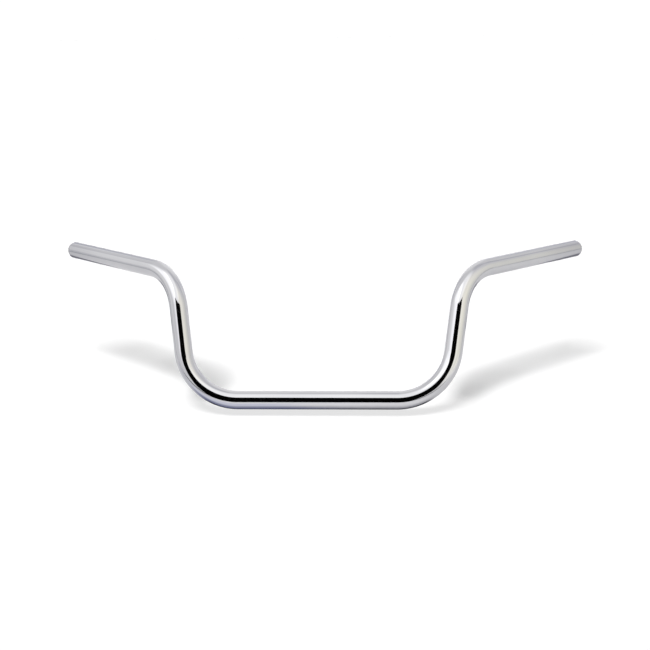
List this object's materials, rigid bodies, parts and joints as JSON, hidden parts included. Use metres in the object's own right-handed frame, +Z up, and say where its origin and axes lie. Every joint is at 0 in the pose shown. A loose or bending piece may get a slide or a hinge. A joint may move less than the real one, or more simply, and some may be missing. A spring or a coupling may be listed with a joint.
{
  "type": "motorcycle handlebar",
  "caption": "Mid-rise pull-back motorcycle handlebar: one bent chromed steel tube with a threaded insert in each end.",
  "frame": {"origin": "middle of the centre section's axis, where the risers' clamp holds the bar", "axes": "+X along the centre section to the clutch side, +Y back to the rider, +Z up with the bar as ridden"},
  "size_m": [0.8098, 0.2806, 0.1838],
  "materials": {
    "chrome": "mirror-polished decorative chrome on steel",
    "insert_steel": "turned, bright zinc plated"
  },
  "bodies": {
    "root": {"bar_tube": "chrome", "clutch_side_insert": "insert_steel", "throttle_side_insert": "insert_steel"}
  },
  "joints": []
}
